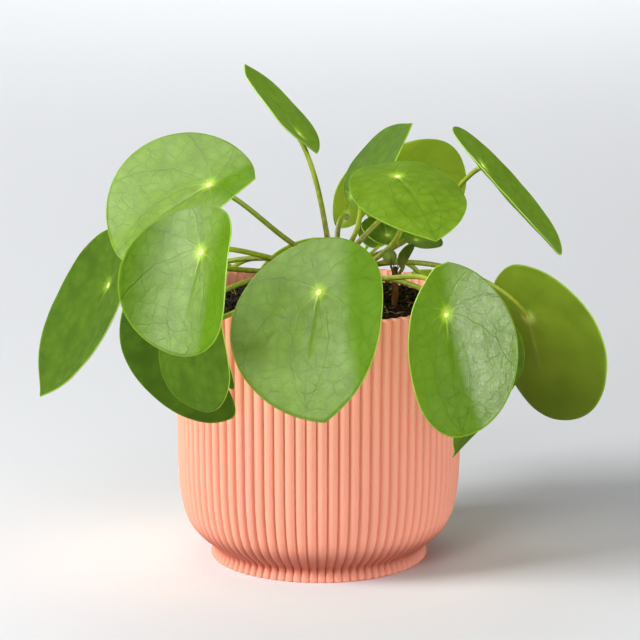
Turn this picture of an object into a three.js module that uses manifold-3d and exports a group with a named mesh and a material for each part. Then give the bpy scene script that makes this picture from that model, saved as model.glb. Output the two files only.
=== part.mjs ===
// A potted pilea: a ribbed coral pot filled with soil, and a bushy plant of round leaves on long stalks.
// Millimetres, +Z up. The origin is the middle of the pot's flat base, and the plant's front looks to -Y.
import * as THREE from "three";
import { mergeVertices } from "three/addons/utils/BufferGeometryUtils.js";
import Module from "manifold-3d";

const wasm = await Module();
wasm.setup();

// ---------------------------------------------------------------------------------------- driving dimensions
const CLEARANCE = 0.3; // the gap between two pieces that touch

// The pot: [height, radius over the rib crests], from the foot over the narrow waist to the rim.
const POT_PROFILE = [[0, 56.5], [6.5, 55], [12, 62.6], [22, 68.8], [50, 73.2], [136.6, 74.6], [138, 74]];
const POT_RIM = 138;
const RIB_COUNT = 84;
const RIB_CORNERS = [0, 0.27, 0.73]; // one groove and two shoulders, as shares of a rib's width
const GROOVE_DEPTH = 1.2;
const GROOVE_AT_FRONT = -0.8; // degrees from straight ahead to the nearest groove
const POT_WALL = 2.6; // from a rib's crest to the inside
const POT_FLOOR = 3;
// The hollow: [height, radius]. It follows the outside from the floor up.
const HOLLOW_PROFILE = [
  [POT_FLOOR, 50], [13, 59.5], [25, 66.5], [50, 73.2 - POT_WALL], [POT_RIM, 74.4 - POT_WALL],
];

// The soil fills the hollow nearly to the rim.
const SOIL_LEVEL = 131;
const SOIL_MOUND = 2.5; // how much higher it lies at the stem than at the wall
const SOIL_RELIEF = 1.2;
const SOIL_RINGS = [0.22, 0.45, 0.7, 0.9];
const SOIL_SEGMENTS = 42;

// The main stem and the young shoot beside it: [height, radius] round their own axes.
const STEM_AXIS = [10, 2];
const STEM_PROFILE = [[108, 5.2], [131, 5.8], [148, 5.2], [158, 4.6], [163, 2.6]];
const STEM_SIDES = 12;
const SHOOT_AXIS = [39, -2];
const SHOOT_PROFILE = [[116, 1.6], [134, 1.7], [147, 1.8], [152, 1]];
const SHOOT_SIDES = 8;

// The blades and their stalks.
const BLADE_THICKNESS = 0.8;
const BLADE_RINGS = [0.24, 0.64, 1]; // shares of the way from the stalk's joint to the rim
const BLADE_SIDES = 24;
const DIMPLE = 1.4; // how far the blade dips in at the stalk's joint
const STALK_RADIUS = 1.4;
const STALK_SIDES = 6;
const STALK_STEPS = 8;

// One entry for each leaf. `at` is where the stalk meets the blade; `head`, `dip` and `roll` turn the blade, in
// degrees: the compass heading of its tip (0 is +X, 90 is +Y), how far the tip points down, and the turn about
// that line. `tip`, `base`, `left` and `right` are the reaches of the rim from the joint, and `wide` is how far
// ahead of the joint the blade is widest. `bend` curls the tip down, `cup` the sides, `twist` turns the tip,
// and `wave` lifts and lowers the rim. Each of the `corners` is [angle, share, width]: at that angle, 0 being the
// tip, the rim is drawn out to a corner by that share, or in to a notch where the share is below 0.
// `stalk` leaves the stem at heading `turn` and height `from`, climbing at `rise` degrees; `leave` and `arrive`
// say how stiffly it keeps its direction at either end, and it meets the blade square on, or leaning towards the
// tip by `slant` degrees.
const LEAVES = {
  front_middle: {
    at: [-0.5, -86, 156], head: -112, dip: 56, roll: 11, tip: 60, base: 30, wide: 17, left: 39, right: 46,
    bend: 41, cup: 0, twist: 4, wave: 0.8, corners: [[15, 0.09, 22]],
    stalk: { turn: -97, from: 153, rise: 32, leave: 34, arrive: 26, slant: 0 },
  },
  front_left: {
    at: [-57, -84, 175], head: -131, dip: 69, roll: 5, tip: 51, base: 23, wide: 14, left: 37, right: 40,
    bend: 9, cup: -83, twist: -15, wave: 0.5,
    stalk: { turn: -143, from: 150, rise: 14, leave: 48, arrive: 18, slant: 32 },
  },
  front_right: {
    at: [62, -82, 144], head: -62, dip: 85, roll: -10, tip: 60, base: 22, wide: 18, left: 39, right: 27,
    bend: -20, cup: -23, twist: 9, wave: 0.6, corners: [[180, 0.13, 22], [197, 0.11, 15]],
    stalk: { turn: -51, from: 147, rise: 2, leave: 49, arrive: 30, slant: 80 },
  },
  upper_left: {
    at: [-55.5, -22, 198], head: -171, dip: 31, roll: -24, tip: 58, base: 24, wide: 19, left: 37, right: 45,
    bend: 15, cup: -59, twist: 1, wave: 0.5, corners: [[150, 0.14, 10]],
    stalk: { turn: -165, from: 154, rise: 21, leave: 29, arrive: 25, slant: 36 },
  },
  far_left: {
    at: [-108, -9, 144], head: -165, dip: 65, roll: -9, tip: 59, base: 31, wide: 7, left: 32, right: 40,
    bend: -22, cup: -31, twist: -8, wave: 0.6, corners: [[0, 0.13, 14]],
    stalk: { turn: -175, from: 147, rise: 2, leave: 51, arrive: 32, slant: 54 },
  },
  upper_middle: {
    at: [39.5, -12, 201], head: -71, dip: 13, roll: 5, tip: 53, base: 23, wide: 14, left: 29, right: 28,
    bend: 34, cup: 31, twist: -3, wave: 0.8, corners: [[0, 0.09, 14]],
    stalk: { turn: -20, from: 149, rise: 24, leave: 46, arrive: 14, slant: 0 },
  },
  far_right: {
    at: [112, 45, 116], head: 46, dip: 70, roll: -7, tip: 66, base: 31, wide: 16, left: 26, right: 43,
    bend: -6, cup: -3, twist: 4, wave: 0.6,
    stalk: { turn: 10, from: 149, rise: 16, leave: 45, arrive: 26, slant: 72 },
  },
  high_right: {
    at: [87.5, 55, 196], head: 5, dip: 49, roll: 12, tip: 63, base: 26, wide: 22, left: 28, right: 46,
    bend: -5, cup: -31, twist: 1, wave: 0.4,
    stalk: { turn: 17, from: 153, rise: 8, leave: 50, arrive: 22, slant: 10 },
  },
  high_left: {
    at: [-9.5, 15, 218.5], head: 154, dip: -46, roll: 14, tip: 41, base: 12, wide: 10, left: 26, right: 30,
    bend: -1, cup: -9, twist: -4, wave: 0.4, corners: [[0, 0.14, 17], [180, 0.15, 12]],
    stalk: { turn: 145, from: 159, rise: 79, leave: 25, arrive: 18, slant: 80 },
  },
  low_left: {
    at: [-68.5, -60, 140.5], head: -29, dip: 63, roll: 80, tip: 59, base: 25, wide: 12, left: 14, right: 37,
    bend: 23, cup: 0, twist: 5, wave: 0.8, corners: [[30, -0.2, 7]],
    stalk: { turn: -156, from: 145, rise: 19, leave: 44, arrive: 14, slant: -8 },
  },
  hanging_left: {
    at: [-60, -84, 139.5], head: -127, dip: 85, roll: 13, tip: 44, base: 21, wide: 20, left: 26, right: 29,
    bend: 26, cup: 1, twist: -2, wave: 0.6,
    stalk: { turn: -129, from: 141, rise: 12, leave: 42, arrive: 17, slant: -2 },
  },
  behind_middle: {
    at: [53, 66, 193], head: 86, dip: 51, roll: -15, tip: 51, base: 23, wide: 14, left: 32, right: 26,
    bend: 16, cup: 10, twist: 1, wave: 0.5,
    stalk: { turn: 16, from: 158, rise: 48, leave: 24, arrive: 20, slant: 30 },
  },
  back_upper: {
    at: [18, 38, 184.5], head: -8, dip: -53, roll: 22, tip: 43, base: 6, wide: 16, left: 30, right: 25,
    bend: 6, cup: 0, twist: -5, wave: 0.5, corners: [[0, 0.11, 15]],
    stalk: { turn: 50, from: 158, rise: 40, leave: 14, arrive: 10, slant: 20 },
  },
  back_inner: {
    at: [13.5, 76, 165], head: 8, dip: -69, roll: -42, tip: 33, base: 7, wide: 13, left: 23, right: 16,
    bend: -2, cup: 0, twist: -3, wave: 0.5,
    stalk: { turn: 93, from: 153, rise: 33, leave: 47, arrive: 4, slant: -1 },
  },
  tucked_right: {
    at: [78.5, -62, 123.5], head: -50, dip: 79, roll: -13, tip: 52, base: 19, wide: 21, left: 44, right: 25,
    bend: 55, cup: 0, twist: -18, wave: 0.6, corners: [[0, 0.17, 10]],
    stalk: { turn: -29, from: 145.5, rise: 9, leave: 50, arrive: 29, slant: 49 },
  },
  small_dark: {
    at: [28, 56, 161], head: -75, dip: 30, roll: 0, tip: 13, base: 8, wide: 4, left: 8, right: 8,
    bend: 25, cup: 10, twist: 0, wave: 0.3, sides: 16,
    stalk: { turn: 68, from: 148, rise: 10, leave: 26, arrive: 10, slant: -25, radius: 0.9 },
  },
  small_grey: {
    at: [36, 37, 162], head: 100, dip: -30, roll: 0, tip: 16, base: 8, wide: 5, left: 13, right: 15,
    bend: 10, cup: -20, twist: 0, wave: 0.3, sides: 18,
    stalk: { turn: 45, from: 146, rise: 25, leave: 18, arrive: 8, slant: -30, radius: 0.9 },
  },
  back_middle: {
    at: [-3, 91, 129], head: 95, dip: 72, roll: 0, tip: 58, base: 24, wide: 15, left: 34, right: 36,
    bend: 14, cup: -10, twist: 5, wave: 0.6,
    stalk: { turn: 108, from: 147, rise: 24, leave: 50, arrive: 34, slant: 60 },
  },
  back_left: {
    at: [-78, 46, 134], head: 142, dip: 66, roll: 8, tip: 48, base: 22, wide: 12, left: 28, right: 32,
    bend: 16, cup: -18, twist: 0, wave: 0.6,
    stalk: { turn: 162, from: 152, rise: 6, leave: 52, arrive: 26, slant: 55 },
  },
  back_right: {
    at: [62, 90, 114], head: 65, dip: 78, roll: -6, tip: 52, base: 20, wide: 14, left: 32, right: 33,
    bend: 8, cup: -8, twist: 0, wave: 0.6,
    stalk: { turn: 52, from: 142, rise: 16, leave: 48, arrive: 34, slant: 70 },
  },
  back_low_left: {
    at: [-57, 86, 118], head: 128, dip: 84, roll: 5, tip: 48, base: 20, wide: 12, left: 28, right: 28,
    bend: 10, cup: 0, twist: -5, wave: 0.6,
    stalk: { turn: 140, from: 144, rise: 14, leave: 48, arrive: 32, slant: 70 },
  },
  young_right: {
    at: [50, 7, 165], head: -2, dip: 7, roll: 24, tip: 14, base: 6, wide: 3, left: 9, right: 7,
    bend: 10, cup: 0, twist: 0, wave: 0.2, sides: 16,
    stalk: { shoot: true, turn: 10, from: 144, rise: 60, leave: 8, arrive: 6, slant: 20, radius: 0.8 },
  },
  young_folded: {
    at: [42, -5, 154], head: 25, dip: -55, roll: -60, tip: 12, base: 2, wide: 4, left: 5, right: 5,
    bend: 0, cup: -70, twist: 0, wave: 0, sides: 12,
    stalk: { shoot: true, turn: -50, from: 145, rise: 60, leave: 3, arrive: 2, slant: 30, radius: 0.7 },
  },
  young_tiny: {
    at: [36, -13, 159], head: -110, dip: -70, roll: 10, tip: 5, base: 3, wide: 1, left: 3.5, right: 3.5,
    bend: 0, cup: -30, twist: 0, wave: 0, sides: 12,
    stalk: { shoot: true, turn: -120, from: 145, rise: 70, leave: 4, arrive: 2, slant: 45, radius: 0.6 },
  },
};

// Colours from the photo.
const LEAF_GREEN = "#6f9e3c";
const YOUNG_GREEN = "#9dbb5a";
const STALK_GREEN = "#8a9140";
const STEM_BROWN = "#7a6238";
const SOIL_BROWN = "#3a2b20";
const POT_CORAL = "#f09c82";

// ------------------------------------------------------------------------------------------------- small tools
const rad = THREE.MathUtils.degToRad;
const group = new THREE.Group();

// Adds one named piece of the plant or the pot.
function addPiece(name, geometry, color, roughness) {
  const mesh = new THREE.Mesh(geometry, new THREE.MeshStandardMaterial({ color, roughness, metalness: 0 }));
  mesh.name = name;
  group.add(mesh);
}

// A repeatable number between -1 and 1 for each pair of whole numbers.
function scatter(a, b) {
  const wobble = Math.sin(a * 127.1 + b * 311.7 + 19) * 43758.5453;
  return 2 * (wobble - Math.floor(wobble)) - 1;
}

// A closed solid of revolution round the upright line through `axis`, from a list of [height, radius].
function turned(profile, sides, axis = [0, 0]) {
  const bottom = profile[0][0];
  const top = profile[profile.length - 1][0];
  const closed = [[bottom, 0], ...profile, [top, 0]];
  const outline = closed.map(([height, radius]) => new THREE.Vector2(radius, height));
  return new THREE.LatheGeometry(outline, sides).rotateX(Math.PI / 2).translate(axis[0], axis[1], 0);
}

// The same profile, wider or narrower all round.
const offsetProfile = (profile, by) => profile.map(([height, radius]) => [height, radius + by]);

function toSolid(geometry) {
  const bare = geometry.clone().deleteAttribute("normal").deleteAttribute("uv");
  const merged = mergeVertices(bare, 1e-4);
  const vertProperties = new Float32Array(merged.attributes.position.array);
  return new wasm.Manifold(
    new wasm.Mesh({ numProp: 3, vertProperties, triVerts: new Uint32Array(merged.index.array) }),
  );
}

function toGeometry(solid) {
  const mesh = solid.getMesh();
  const geometry = new THREE.BufferGeometry();
  geometry.setAttribute("position", new THREE.BufferAttribute(mesh.vertProperties, 3));
  geometry.setIndex(new THREE.BufferAttribute(mesh.triVerts, 1));
  return geometry;
}

// --------------------------------------------------------------------------------------------------------- pot
// The outside is turned with three corners to a rib, and one of the three is drawn in as the groove.
function potGeometry() {
  const outside = turned(POT_PROFILE, RIB_COUNT * RIB_CORNERS.length);
  const position = outside.attributes.position;
  const rows = POT_PROFILE.length + 2;
  const ribWidth = (2 * Math.PI) / RIB_COUNT;
  for (let i = 0; i < position.count; i++) {
    const column = Math.floor(i / rows);
    const corner = column % RIB_CORNERS.length;
    const radius = Math.hypot(position.getX(i), position.getY(i));
    if (radius < 1) continue;
    const reach = radius - (corner === 0 ? GROOVE_DEPTH : 0);
    const rib = Math.floor(column / RIB_CORNERS.length) + RIB_CORNERS[corner];
    const angle = rad(GROOVE_AT_FRONT - 90) + rib * ribWidth;
    position.setXY(i, reach * Math.cos(angle), reach * Math.sin(angle));
  }
  const overRim = [POT_RIM + 2, HOLLOW_PROFILE[HOLLOW_PROFILE.length - 1][1]];
  const hollow = turned([...HOLLOW_PROFILE, overRim], RIB_COUNT);
  return toGeometry(toSolid(outside).subtract(toSolid(hollow)));
}

// -------------------------------------------------------------------------------------------------------- soil
// The soil's top lies in rings of little heights, and the stem and the shoot stand in holes of their own.
function soilGeometry() {
  const wall = HOLLOW_PROFILE.filter(([height]) => height < SOIL_LEVEL);
  const [[lowHeight, lowRadius], [highHeight, highRadius]] = HOLLOW_PROFILE.slice(-2);
  const share = (SOIL_LEVEL - lowHeight) / (highHeight - lowHeight);
  const edge = lowRadius + share * (highRadius - lowRadius) - CLEARANCE;
  const sides = offsetProfile(wall, -CLEARANCE);
  sides[0][0] += CLEARANCE;
  const rings = [...SOIL_RINGS].reverse().map((ring) => [SOIL_LEVEL + SOIL_MOUND * (1 - ring), edge * ring]);
  const soil = turned([...sides, [SOIL_LEVEL, edge], ...rings], SOIL_SEGMENTS);
  const position = soil.attributes.position;
  for (let i = 0; i < position.count; i++) {
    const [x, y, z] = [position.getX(i), position.getY(i), position.getZ(i)];
    const isTop = z >= SOIL_LEVEL - 0.01;
    if (isTop) position.setZ(i, z + SOIL_RELIEF * scatter(Math.round(x * 3), Math.round(y * 3)));
  }
  const holeFor = (profile, sides, axis) => {
    const wide = offsetProfile(profile, CLEARANCE);
    wide[0][0] -= CLEARANCE;
    wide[wide.length - 1][1] = wide[1][1];
    return toSolid(turned(wide, sides, axis));
  };
  return toGeometry(
    toSolid(soil)
      .subtract(holeFor(STEM_PROFILE, STEM_SIDES, STEM_AXIS))
      .subtract(holeFor(SHOOT_PROFILE, SHOOT_SIDES, SHOOT_AXIS)),
  );
}

// ------------------------------------------------------------------------------------------------------ blades
// The blade's own directions: towards the tip, to its left, and out of its upper face.
function bladeFrame({ head, dip, roll }) {
  const [h, d, r] = [rad(head), rad(dip), rad(roll)];
  const ahead = new THREE.Vector3(Math.cos(h) * Math.cos(d), Math.sin(h) * Math.cos(d), -Math.sin(d));
  const level = new THREE.Vector3(-Math.sin(h), Math.cos(h), 0);
  const upright = new THREE.Vector3().crossVectors(ahead, level);
  const side = level.clone().multiplyScalar(Math.cos(r)).addScaledVector(upright, Math.sin(r));
  const up = upright.clone().multiplyScalar(Math.cos(r)).addScaledVector(level, -Math.sin(r));
  return { ahead, side, up };
}

// How far along and how far down a strip reaches that curls by `rate` radians each millimetre.
function curl(distance, rate) {
  if (Math.abs(rate) < 1e-6) return [distance, 0];
  return [Math.sin(rate * distance) / rate, -(1 - Math.cos(rate * distance)) / rate];
}

// The point `lift` above the blade's middle surface, from its place (x, y) on the flat blade.
function bladePoint(leaf, x, y, lift) {
  const { ahead, side, up } = bladeFrame(leaf);
  const length = leaf.tip + leaf.base;
  const bendRate = rad(leaf.bend) / length;
  const cupRate = rad(leaf.cup) / (leaf.left + leaf.right);
  const [along, drop] = curl(x, bendRate);
  let [across, sag] = curl(y, cupRate);
  across += lift * Math.sin(cupRate * y);
  sag += lift * Math.cos(cupRate * y);
  const turn = (rad(leaf.twist) * x) / length;
  const aside = across * Math.cos(turn) - sag * Math.sin(turn);
  const height = across * Math.sin(turn) + sag * Math.cos(turn);
  return new THREE.Vector3(...leaf.at)
    .addScaledVector(ahead, along + Math.sin(bendRate * x) * height)
    .addScaledVector(side, aside)
    .addScaledVector(up, drop + Math.cos(bendRate * x) * height);
}

// The rim is two half ovals end to end, fuller on one side than on the other, with its corners drawn out.
function rimPoint(leaf, angle) {
  const [c, s] = [Math.cos(angle), Math.sin(angle)];
  const x = leaf.wide + c * (c > 0 ? leaf.tip - leaf.wide : leaf.base + leaf.wide);
  const y = s * (s > 0 ? leaf.left : leaf.right);
  let reach = 1;
  for (const [at, amount, width] of leaf.corners ?? []) {
    const away = Math.acos(Math.cos(angle - rad(at)));
    reach += amount * Math.exp(-away / rad(width));
  }
  return [x * reach, y * reach];
}

// Upper and lower face share one pattern of triangles, so the thin blade never crosses itself.
function bladeGeometry(leaf) {
  const sides = leaf.sides ?? BLADE_SIDES;
  const positions = [];
  const index = [];
  const faceSize = 1 + BLADE_RINGS.length * sides;
  const corner = (ring, i) => 1 + ring * sides + (i % sides);
  for (const half of [BLADE_THICKNESS / 2, -BLADE_THICKNESS / 2]) {
    positions.push(...bladePoint(leaf, 0, 0, half - DIMPLE).toArray());
    for (const ring of BLADE_RINGS) {
      for (let i = 0; i < sides; i++) {
        const angle = (2 * Math.PI * i) / sides;
        const [x, y] = rimPoint(leaf, angle);
        const lift = leaf.wave * ring * ring * Math.sin(4 * angle + leaf.head);
        positions.push(...bladePoint(leaf, x * ring, y * ring, half + lift).toArray());
      }
    }
  }
  const addTriangle = (a, b, c) => {
    index.push(a, b, c);
    index.push(faceSize + a, faceSize + c, faceSize + b);
  };
  const rim = BLADE_RINGS.length - 1;
  for (let i = 0; i < sides; i++) {
    addTriangle(0, corner(0, i), corner(0, i + 1));
    for (let ring = 0; ring < rim; ring++) {
      addTriangle(corner(ring, i), corner(ring + 1, i), corner(ring + 1, i + 1));
      addTriangle(corner(ring, i), corner(ring + 1, i + 1), corner(ring, i + 1));
    }
    const [a, b] = [corner(rim, i), corner(rim, i + 1)];
    index.push(a, faceSize + a, faceSize + b);
    index.push(a, faceSize + b, b);
  }
  const geometry = new THREE.BufferGeometry();
  geometry.setAttribute("position", new THREE.Float32BufferAttribute(positions, 3));
  geometry.setIndex(index);
  return geometry;
}

// ------------------------------------------------------------------------------------------------------ stalks
function radiusAt(profile, height) {
  const above = profile.findIndex(([level]) => level >= height);
  const [[lowHeight, lowRadius], [highHeight, highRadius]] = profile.slice(above - 1, above + 1);
  return lowRadius + ((height - lowHeight) / (highHeight - lowHeight)) * (highRadius - lowRadius);
}

// The stalk's middle line, from the stem's side (or from inside the shoot) to just under the blade's dimple.
function stalkCurve(leaf) {
  const { turn, from, rise, leave, arrive, slant, shoot, radius = STALK_RADIUS } = leaf.stalk;
  const axis = shoot ? SHOOT_AXIS : STEM_AXIS;
  const outward = new THREE.Vector3(Math.cos(rad(turn)), Math.sin(rad(turn)), 0);
  const lean = radius * Math.sin(rad(rise)) + CLEARANCE;
  const reach = shoot ? 0 : radiusAt(STEM_PROFILE, from) + lean;
  const start = new THREE.Vector3(axis[0], axis[1], from).addScaledVector(outward, reach);
  const climb = outward.multiplyScalar(Math.cos(rad(rise))).add(new THREE.Vector3(0, 0, Math.sin(rad(rise))));
  const { ahead, up } = bladeFrame(leaf);
  const inward = up.multiplyScalar(Math.cos(rad(slant))).addScaledVector(ahead, Math.sin(rad(slant)));
  const below = radius * Math.abs(Math.sin(rad(slant))) + CLEARANCE;
  const end = bladePoint(leaf, 0, 0, -DIMPLE - BLADE_THICKNESS / 2 - below);
  return new THREE.CubicBezierCurve3(
    start,
    start.clone().addScaledVector(climb, leave),
    end.clone().addScaledVector(inward, -arrive),
    end,
  );
}

function stalkGeometry(leaf) {
  const radius = leaf.stalk.radius ?? STALK_RADIUS;
  const section = new THREE.Shape();
  for (let i = 0; i < STALK_SIDES; i++) {
    const angle = (2 * Math.PI * i) / STALK_SIDES;
    const [x, y] = [radius * Math.cos(angle), radius * Math.sin(angle)];
    if (i === 0) section.moveTo(x, y);
    else section.lineTo(x, y);
  }
  section.closePath();
  return new THREE.ExtrudeGeometry(section, { steps: STALK_STEPS, extrudePath: stalkCurve(leaf) });
}

// ---------------------------------------------------------------------------------------------------- assembly
addPiece("pot", potGeometry(), POT_CORAL, 0.6);
addPiece("soil", soilGeometry(), SOIL_BROWN, 0.95);
addPiece("stem", turned(STEM_PROFILE, STEM_SIDES, STEM_AXIS), STEM_BROWN, 0.8);

let shootSolid = toSolid(turned(SHOOT_PROFILE, SHOOT_SIDES, SHOOT_AXIS));
for (const [name, leaf] of Object.entries(LEAVES)) {
  const isYoung = Boolean(leaf.stalk.shoot);
  addPiece(`leaf_${name}`, bladeGeometry(leaf), isYoung ? YOUNG_GREEN : LEAF_GREEN, 0.35);
  if (isYoung) shootSolid = shootSolid.add(toSolid(stalkGeometry(leaf)));
  else addPiece(`stalk_${name}`, stalkGeometry(leaf), STALK_GREEN, 0.5);
}
addPiece("shoot", toGeometry(shootSolid), YOUNG_GREEN, 0.6);

export default group;
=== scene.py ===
# %% [markdown]
# # A potted pilea
#
# A pilea is a bushy house plant: round, slightly fleshy leaves, each held by its own long stalk that meets
# the blade a third of the way in from its edge. This one stands in a matte coral pot with upright ribs.
#
# The script dresses a plain solid model of the plant. That model is loaded first, as a fixed frame: it says
# where every piece is and how large it may be. The pieces made here take the places of its nodes, and only
# the chips and root threads on the soil come on top.

# %% Load the frame
import math
import random

import bmesh
import bpy
from mathutils import Matrix, Vector, geometry, noise


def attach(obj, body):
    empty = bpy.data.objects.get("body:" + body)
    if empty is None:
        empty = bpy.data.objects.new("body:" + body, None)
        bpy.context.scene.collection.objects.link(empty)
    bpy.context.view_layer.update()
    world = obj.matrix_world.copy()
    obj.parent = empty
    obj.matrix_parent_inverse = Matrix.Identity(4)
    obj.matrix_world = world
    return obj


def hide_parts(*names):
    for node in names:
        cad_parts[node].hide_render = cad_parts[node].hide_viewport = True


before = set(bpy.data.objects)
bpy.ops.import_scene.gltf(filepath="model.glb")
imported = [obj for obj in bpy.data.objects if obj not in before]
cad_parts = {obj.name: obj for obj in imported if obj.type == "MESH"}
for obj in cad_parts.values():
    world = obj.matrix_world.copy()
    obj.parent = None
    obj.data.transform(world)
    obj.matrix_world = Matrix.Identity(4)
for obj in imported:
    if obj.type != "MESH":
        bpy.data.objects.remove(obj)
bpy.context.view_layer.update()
MM = 0.001  # the frame is in metres, and a plant is easier to describe in millimetres

# %% [markdown]
# ## Camera
#
# The photo was taken from about 1.3 m off and 40 cm up, tilted down by 12 degrees, through a long lens. A
# long lens from far away draws the pot's rim as a flat oval, so the distance matters as much as the
# framing.

# %% Camera
EYE = (0.6, -1314, 403)
TILT_DOWN = 12
FOCAL_PIXELS = 2610  # the focal length, measured in pixels of a picture 640 pixels wide
PICTURE_WIDTH = 640
SENSOR_WIDTH = 36

camera_data = bpy.data.cameras.new("camera")
camera_data.sensor_width = SENSOR_WIDTH
camera_data.lens = FOCAL_PIXELS / PICTURE_WIDTH * SENSOR_WIDTH
camera = bpy.data.objects.new("camera", camera_data)
camera.location = Vector(EYE) * MM
camera.rotation_euler = (math.radians(90 - TILT_DOWN), 0, 0)
bpy.context.scene.collection.objects.link(camera)
bpy.context.scene.camera = camera
print("camera: lens", round(camera_data.lens, 1), "mm")

# %% [markdown]
# ## Studio
#
# A large soft lamp from the left, a little in front, throws the shadow to the right. The pot has a twin of
# that lamp which the leaves don't shade. The blades have soft panels of their own: from the front, from
# three places on the left and above for their sheen, from the right, and from behind for their glow. Light
# linking keeps these lamps apart. So each piece is lit as the photo shows it, and the floor keeps its one
# shadow.
#
# The plain view transform keeps the colours as strong as they are painted.

# %% Studio
bpy.context.scene.view_settings.view_transform = "Standard"
world = bpy.data.worlds.new("pale room")
bpy.context.scene.world = world
world.use_nodes = True
world.node_tree.nodes["Background"].inputs["Color"].default_value = (0.95, 0.96, 1.0, 1)
world.node_tree.nodes["Background"].inputs["Strength"].default_value = 0.06


def add_lamp(name, place, aim, size, power, receivers=None, blockers=None):
    """A square soft lamp at `place`, facing `aim`, in millimetres, with what it lights and what shades it."""
    lamp = bpy.data.lights.new(name, "AREA")
    lamp.size = size * MM
    lamp.energy = power
    lamp.color = (1.0, 0.99, 0.98)
    holder = bpy.data.objects.new(name, lamp)
    holder.location = Vector(place) * MM
    holder.rotation_euler = (Vector(aim) - Vector(place)).to_track_quat("-Z", "Y").to_euler()
    bpy.context.scene.collection.objects.link(holder)
    holder.light_linking.receiver_collection = receivers
    holder.light_linking.blocker_collection = blockers


# The pieces by what lights them. `casters` shade the blades: they are all pieces but the front left leaf,
# which the photo shows throwing no shadow.
pots, blades, others, casters = map(bpy.data.collections.new, ("pots", "blades", "others", "casters"))
MID_PLANT = (0, 0, 150)
MID_POT = (0, 0, 100)
add_lamp("key lamp", (-4200, -1400, 1830), MID_POT, 2060, 346, others)
add_lamp("pot lamp", (-2650, -880, 1150), MID_POT, 1300, 114, pots, pots)
add_lamp("front panel", (-200, -1500, 1500), (0, 0, 120), 1100, 7)
add_lamp("pot card", (1300, -1000, 250), MID_POT, 600, 13, pots, pots)
add_lamp("backdrop lamp", (200, 3600, 2600), (200, 3500, 0), 2500, 62, others)
add_lamp("floor panel", (-900, -1500, 500), (0, -50, 0), 700, 15, others)
add_lamp("blade panel", (-1100, -1500, 1500), MID_PLANT, 1200, 30, blades, casters)
add_lamp("blade sheen panel", (-1500, -300, 1250), MID_PLANT, 1000, 23, blades, pots)
add_lamp("blade low panel", (-1350, -600, 560), MID_PLANT, 1000, 16, blades, pots)
add_lamp("blade card", (1230, -640, 300), MID_PLANT, 550, 21, blades)
add_lamp("blade back panel", (-900, 1500, 900), MID_PLANT, 900, 8, blades)
add_lamp("blade top panel", (-420, 35, 1240), (0, 0, 200), 350, 5, blades)
print("lamps:", len(bpy.data.lights))


# %% [markdown]
# ## Small tools
#
# Colours are written as hex values, as a painter's chart gives them, and one function turns them to the
# linear values that the renderer works with. A second small function adds a node to a material and gives
# one of its outputs: of its inputs, a socket is linked, and a colour or a number is set. A finish is then
# painted as a painter would, in layers over a ground colour, each through a mask.

# %% Colours, nodes and layers of paint
SMOOTH = {"interpolation_type": "SMOOTHSTEP"}  # eases a ramp in and out, so that no mask has a hard edge


def linear(hex_colour):
    """The renderer's linear colour for an sRGB hex value."""
    channels = [int(hex_colour[i : i + 2], 16) / 255 for i in (1, 3, 5)]
    return (*[c / 12.92 if c <= 0.04045 else ((c + 0.055) / 1.055) ** 2.4 for c in channels], 1)


def add_node(tree, kind, inputs=(), output=0, **settings):
    """Adds a shader node with its settings and its inputs, by name or in order, and gives an output of it."""
    node = tree.nodes.new("ShaderNode" + kind)
    for setting, value in settings.items():
        setattr(node, setting, value)
    for key, value in inputs.items() if isinstance(inputs, dict) else enumerate(inputs):
        if isinstance(value, bpy.types.NodeSocket):
            tree.links.new(value, node.inputs[key])
        else:
            node.inputs[key].default_value = linear(value) if isinstance(value, str) else value
    return node.outputs[output]


def paint(tree, colour, *layers):
    """Lays colours over a ground colour. A layer is a mask, how strongly it shows, and its colour."""
    for mask, strength, layer_colour in layers:
        shown = add_node(tree, "Math", [mask, strength], operation="MULTIPLY")
        mixed = {"Factor": shown, "A": colour, "B": layer_colour}
        colour = add_node(tree, "Mix", mixed, "Result", data_type="RGBA")
    return colour


def new_material(name, **constants):
    """A material with a Principled shader, its constants set on the shader's own sockets."""
    material = bpy.data.materials.new(name)
    material.use_nodes = True
    shader = material.node_tree.nodes["Principled BSDF"]
    for socket, value in constants.items():
        shader.inputs[socket.replace("_", " ")].default_value = value
    return material, material.node_tree, shader


# %% [markdown]
# A piece is drawn in millimetres in a bmesh, and a last step brings it to metres and puts it in the place
# of its node. Two shapes are needed more than once: a sheet whose open edge is pulled on by a ring of
# points, and a disc that grows that way from its middle.

# %% Sheets, discs and finished pieces
def extrude_rim(bm, rim):
    """Pulls a new ring of points out of a sheet's open edge, and gives those points and the new open edge."""
    parts = bmesh.ops.extrude_edge_only(bm, edges=rim)["geom"]
    points = [part for part in parts if isinstance(part, bmesh.types.BMVert)]
    return points, [part for part in parts if isinstance(part, bmesh.types.BMEdge) and part.is_boundary]


def grow_disc(bm, radius, segments, rings):
    """Grows a flat disc from a small fan in its middle, ring after ring, and gives its open edge."""
    bmesh.ops.create_circle(bm, segments=segments, radius=radius / rings, cap_ends=True, cap_tris=True)
    rim = [edge for edge in bm.edges if edge.is_boundary]
    for ring in range(2, rings + 1):
        points, rim = extrude_rim(bm, rim)
        bmesh.ops.scale(bm, vec=(ring / (ring - 1),) * 3, verts=points)
    return rim


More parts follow.
